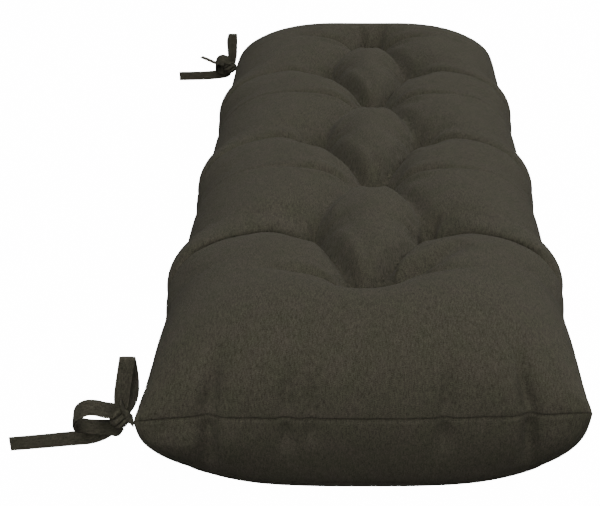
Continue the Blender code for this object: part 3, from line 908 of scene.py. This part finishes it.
def make_knot(ear, place, size):
    """Points, faces and cloth places of a knot: a round lump with creases twisting along it.

    Each crease is the narrow part of the absolute value of a cosine round the knot.
    """
    turn = np.linspace(0.0, 2 * math.pi, KNOT_ROUND, endpoint=False)[None, :]
    tilt = np.linspace(KNOT_POLE, math.pi - KNOT_POLE, KNOT_RINGS)[:, None]
    phase = KNOT_CREASES / 2 * (turn + KNOT_TWIST * np.cos(tilt))
    radius = 1 - KNOT_CREASE_DEPTH * (1 - np.abs(np.sin(phase))) ** 2 * np.sin(tilt)
    radius = radius * np.sin(tilt)
    shape = np.broadcast_arrays(np.cos(tilt), radius * np.cos(turn), radius * np.sin(turn))
    points = ear + np.array(place) + np.stack(shape, axis=-1) * np.array(size) / 2
    index = np.arange(points[..., 0].size).reshape(points.shape[:2])
    after = np.roll(index, -1, axis=1)
    faces = np.stack([index[:-1], after[:-1], after[1:], index[1:]], axis=-1)
    faces = faces.reshape(-1, 4).tolist() + [index[0][::-1].tolist(), index[-1].tolist()]
    cut = np.stack(np.broadcast_arrays(turn * STRIP_WIDTH / 2, tilt * STRIP_WIDTH / 2), axis=-1)
    return points.reshape(-1, 3), faces, cut.reshape(-1, 2)


def make_tie(name, ear, strands, knot, material):
    """One tied strip: its strands and its knot in one mesh."""
    parts = [make_strand(kind, table, ear, knot[0]) for kind, table in strands.items()]
    parts.append(make_knot(ear, *knot))
    faces = []
    base = 0
    for points, part_faces, _ in parts:
        faces += [[corner + base for corner in face] for face in part_faces]
        base += len(points)
    points = np.concatenate([part[0] for part in parts])
    cut = np.concatenate([part[2] for part in parts])
    corners = [corner for face in faces for corner in face]
    return mesh_object(name, points, faces, cut[corners], material)


class Nodes:
    """Short ways to add and join the nodes of one material."""

    def __init__(self, material):
        material.use_nodes = True
        self.tree = material.node_tree
        self.shader = self.tree.nodes["Principled BSDF"]

    def put(self, target, value):
        """Join a socket's value, or set it."""
        if isinstance(value, bpy.types.NodeSocket):
            self.tree.links.new(value, target)
        else:
            target.default_value = value

    def math(self, operation, *values):
        """One Math node."""
        node = self.tree.nodes.new("ShaderNodeMath")
        node.operation = operation
        for socket, value in zip(node.inputs, values):
            self.put(socket, value)
        return node.outputs[0]

    def place(self, x, y, z=0.0):
        """A vector from its three parts."""
        node = self.tree.nodes.new("ShaderNodeCombineXYZ")
        for socket, value in zip(node.inputs, (x, y, z)):
            self.put(socket, value)
        return node.outputs[0]

    def noise(self, vector, scale, detail=2.0):
        """Smooth noise from 0 to 1, on average a half."""
        node = self.tree.nodes.new("ShaderNodeTexNoise")
        self.put(node.inputs["Vector"], vector)
        node.inputs["Scale"].default_value = scale
        node.inputs["Detail"].default_value = detail
        return node.outputs["Fac"]

    def mix(self, share, low, high):
        """Between two values."""
        node = self.tree.nodes.new("ShaderNodeMix")
        for socket, value in zip(node.inputs[:4], (share, None, low, high)):
            if value is not None:
                self.put(socket, value)
        return node.outputs[0]

    def colour(self, share, low, high):
        """Between two colours."""
        node = self.tree.nodes.new("ShaderNodeMix")
        node.data_type = "RGBA"
        self.put(node.inputs["Factor"], share)
        self.put(node.inputs["A"], low)
        self.put(node.inputs["B"], high)
        return node.outputs["Result"]

    def contrast(self, value, strength):
        """A value from 0 to 1, drawn away from a half."""
        return self.math("MULTIPLY_ADD", self.math("SUBTRACT", value, 0.5), strength, 0.5)

    def yarn_height(self, own, neighbour):
        """Height of a yarn: its half round, lower where it dives under its neighbour."""
        share = self.math("MULTIPLY", 1.0 - HIDDEN_ARCH, neighbour)
        return self.math("MULTIPLY", own, self.math("ADD", HIDDEN_ARCH, share))


def weave_material(name):
    """Matt plain weave of uneven yarn.

    Where the sum of a yarn's and its neighbour's numbers is even, the lengthwise yarn passes over,
    and elsewhere the crosswise one. Each yarn is a half round, and its shade drifts along it. Its
    height also darkens the colour where it dives under its neighbour: painted shade in the weave's
    hollows. Wide, faint patches turn from olive to a warm grey.
    """
    material = bpy.data.materials.new(name)
    n = Nodes(material)
    cloth = n.tree.nodes.new("ShaderNodeUVMap")
    cloth.uv_map = "cloth"
    parts = n.tree.nodes.new("ShaderNodeSeparateXYZ")
    n.put(parts.inputs[0], cloth.outputs[0])
    across = n.math("DIVIDE", parts.outputs[0], YARN_PITCH)
    along = n.math("DIVIDE", parts.outputs[1], YARN_PITCH)
    number_across = n.math("FLOOR", across)
    number_along = n.math("FLOOR", along)
    warp_over = n.math("PINGPONG", n.math("ADD", number_across, number_along), 1.0)
    warp_round = n.math("SINE", n.math("MULTIPLY", n.math("FRACT", across), math.pi))
    weft_round = n.math("SINE", n.math("MULTIPLY", n.math("FRACT", along), math.pi))
    warp_arch = n.yarn_height(warp_round, weft_round)
    weft_arch = n.yarn_height(weft_round, warp_round)
    height = n.mix(warp_over, weft_arch, warp_arch)
    warp_key = n.math("MULTIPLY", number_across, YARN_KEY)
    weft_key = n.math("MULTIPLY", number_along, YARN_KEY)
    warp_shade = n.noise(n.place(warp_key, n.math("DIVIDE", along, SLUB_YARNS)), 1.0)
    weft_run = n.math("DIVIDE", across, SLUB_YARNS / SLUB_RATIO)
    weft_shade = n.noise(n.place(weft_run, weft_key), 1.0)
    yarn_shade = n.mix(warp_over, weft_shade, warp_shade)
    patches = n.noise(cloth.outputs[0], 1.0 / PATCH_SIZE, 3.0)
    grey = n.contrast(yarn_shade, YARN_CONTRAST)
    warmth = n.contrast(patches, PATCH_CONTRAST)
    dark = n.colour(warmth, (*OLIVE_DARK, 1.0), (*WARM_DARK, 1.0))
    light = n.colour(warmth, (*OLIVE_LIGHT, 1.0), (*WARM_LIGHT, 1.0))
    # Painted shade: the yarn's height darkens the colour where it dives under its neighbour, added to
    # the yarn's own tone
    tone_and_hollow_shade = n.math("MULTIPLY_ADD", height, ARCH_SHADE_SHARE, n.math("MULTIPLY", grey, YARN_SHARE))
    n.put(n.shader.inputs["Base Color"], n.colour(tone_and_hollow_shade, dark, light))
    bump = n.tree.nodes.new("ShaderNodeBump")
    bump.inputs["Distance"].default_value = YARN_PITCH * 0.3
    bump.inputs["Strength"].default_value = 0.8
    n.put(bump.inputs["Height"], n.math("ADD", height, n.math("MULTIPLY", yarn_shade, 0.6)))
    n.put(n.shader.inputs["Normal"], bump.outputs[0])
    n.shader.inputs["Roughness"].default_value = 0.92
    n.shader.inputs["Specular IOR Level"].default_value = 0.12
    n.shader.inputs["Sheen Weight"].default_value = SHEEN
    n.shader.inputs["Sheen Roughness"].default_value = 0.5
    n.shader.inputs["Sheen Tint"].default_value = (0.55, 0.52, 0.45, 1.0)
    return material


def make_camera():
    """The photo's camera: level, looking down along the cushion, its frame shifted sideways."""
    data = bpy.data.cameras.new("camera")
    data.sensor_width = SENSOR
    data.lens = FOCAL_PIXELS * SENSOR / FRAME_WIDTH
    data.shift_x = (FRAME_WIDTH / 2 - AXIS_PIXEL) / FRAME_WIDTH
    camera = bpy.data.objects.new("camera", data)
    camera.location = CAMERA_PLACE
    camera.rotation_euler = (math.radians(90.0 - CAMERA_PITCH), 0.0, 0.0)
    bpy.context.scene.collection.objects.link(camera)
    bpy.context.scene.camera = camera


def make_floor():
    """Plain pale floor that glows like a light table, and doesn't throw its light on the cloth."""
    mesh = bpy.data.meshes.new("floor")
    corners = [(x * FLOOR_SIZE, y * FLOOR_SIZE, 0) for x, y in ((-1, -1), (1, -1), (1, 1), (-1, 1))]
    mesh.from_pydata(corners, [], [(0, 1, 2, 3)])
    material = bpy.data.materials.new("floor")
    material.use_nodes = True
    shader = material.node_tree.nodes["Principled BSDF"]
    shader.inputs["Base Color"].default_value = (0.9, 0.9, 0.9, 1.0)
    shader.inputs["Roughness"].default_value = 1.0
    shader.inputs["Specular IOR Level"].default_value = 0.0
    shader.inputs["Emission Color"].default_value = (1.0, 1.0, 1.0, 1.0)
    shader.inputs["Emission Strength"].default_value = BACKDROP
    mesh.materials.append(material)
    floor = bpy.data.objects.new("floor", mesh)
    floor.visible_diffuse = False
    floor.visible_glossy = False
    bpy.context.scene.collection.objects.link(floor)


def make_world():
    """Pale backdrop for the camera; for the cloth, soft light from above that dies away below."""
    world = bpy.data.worlds.new("studio")
    bpy.context.scene.world = world
    world.use_nodes = True
    nodes, links = world.node_tree.nodes, world.node_tree.links
    direction = nodes.new("ShaderNodeTexCoord")
    parts = nodes.new("ShaderNodeSeparateXYZ")
    links.new(direction.outputs["Generated"], parts.inputs[0])
    level = nodes.new("ShaderNodeMapRange")
    level.interpolation_type = "SMOOTHSTEP"
    links.new(parts.outputs["Z"], level.inputs["Value"])
    level.inputs["From Min"].default_value = -HORIZON_BLUR
    level.inputs["From Max"].default_value = HORIZON_BLUR
    level.inputs["To Min"].default_value = LIGHT_BELOW
    level.inputs["To Max"].default_value = LIGHT_ABOVE
    background = nodes["Background"]
    background.inputs["Color"].default_value = (1.0, 1.0, 1.0, 1.0)
    links.new(level.outputs["Result"], background.inputs["Strength"])
    backdrop = nodes.new("ShaderNodeBackground")
    backdrop.inputs["Color"].default_value = (1.0, 1.0, 1.0, 1.0)
    backdrop.inputs["Strength"].default_value = BACKDROP
    path = nodes.new("ShaderNodeLightPath")
    mix = nodes.new("ShaderNodeMixShader")
    links.new(path.outputs["Is Camera Ray"], mix.inputs["Fac"])
    links.new(background.outputs[0], mix.inputs[1])
    links.new(backdrop.outputs[0], mix.inputs[2])
    links.new(mix.outputs[0], nodes["World Output"].inputs["Surface"])


def make_lights():
    """Large soft lamps, each aimed at the middle of the cushion."""
    middle = Vector((0.0, 0.0, SEAM_HEIGHT))
    for name, bearing, height, power in LAMPS:
        data = bpy.data.lights.new(name, "AREA")
        data.size = LAMP_SIZE
        data.energy = power
        lamp = bpy.data.objects.new(name, data)
        turn = Euler((math.radians(90.0 - height), 0.0, math.radians(bearing)))
        lamp.rotation_euler = turn
        lamp.location = turn.to_matrix() @ Vector((0.0, 0.0, LAMP_DISTANCE)) + middle
        bpy.context.scene.collection.objects.link(lamp)


make_camera()
make_floor()
make_world()
make_lights()
cloth = weave_material("dark_weave")
cushion = make_cushion(cloth)
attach(cushion, "root")
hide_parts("cushion")

for name, end, inset, (across, up), strands in TIES:
    y = end * (LENGTH / 2 - inset)
    ear = np.array((side_draw(y) - WIDTH / 2 + across - SEWN_GAP, y, SEAM_HEIGHT + up))
    tie = make_tie(name + "_strip", ear, strands, KNOTS[name], cloth)
    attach(tie, "root")
    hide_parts(name)
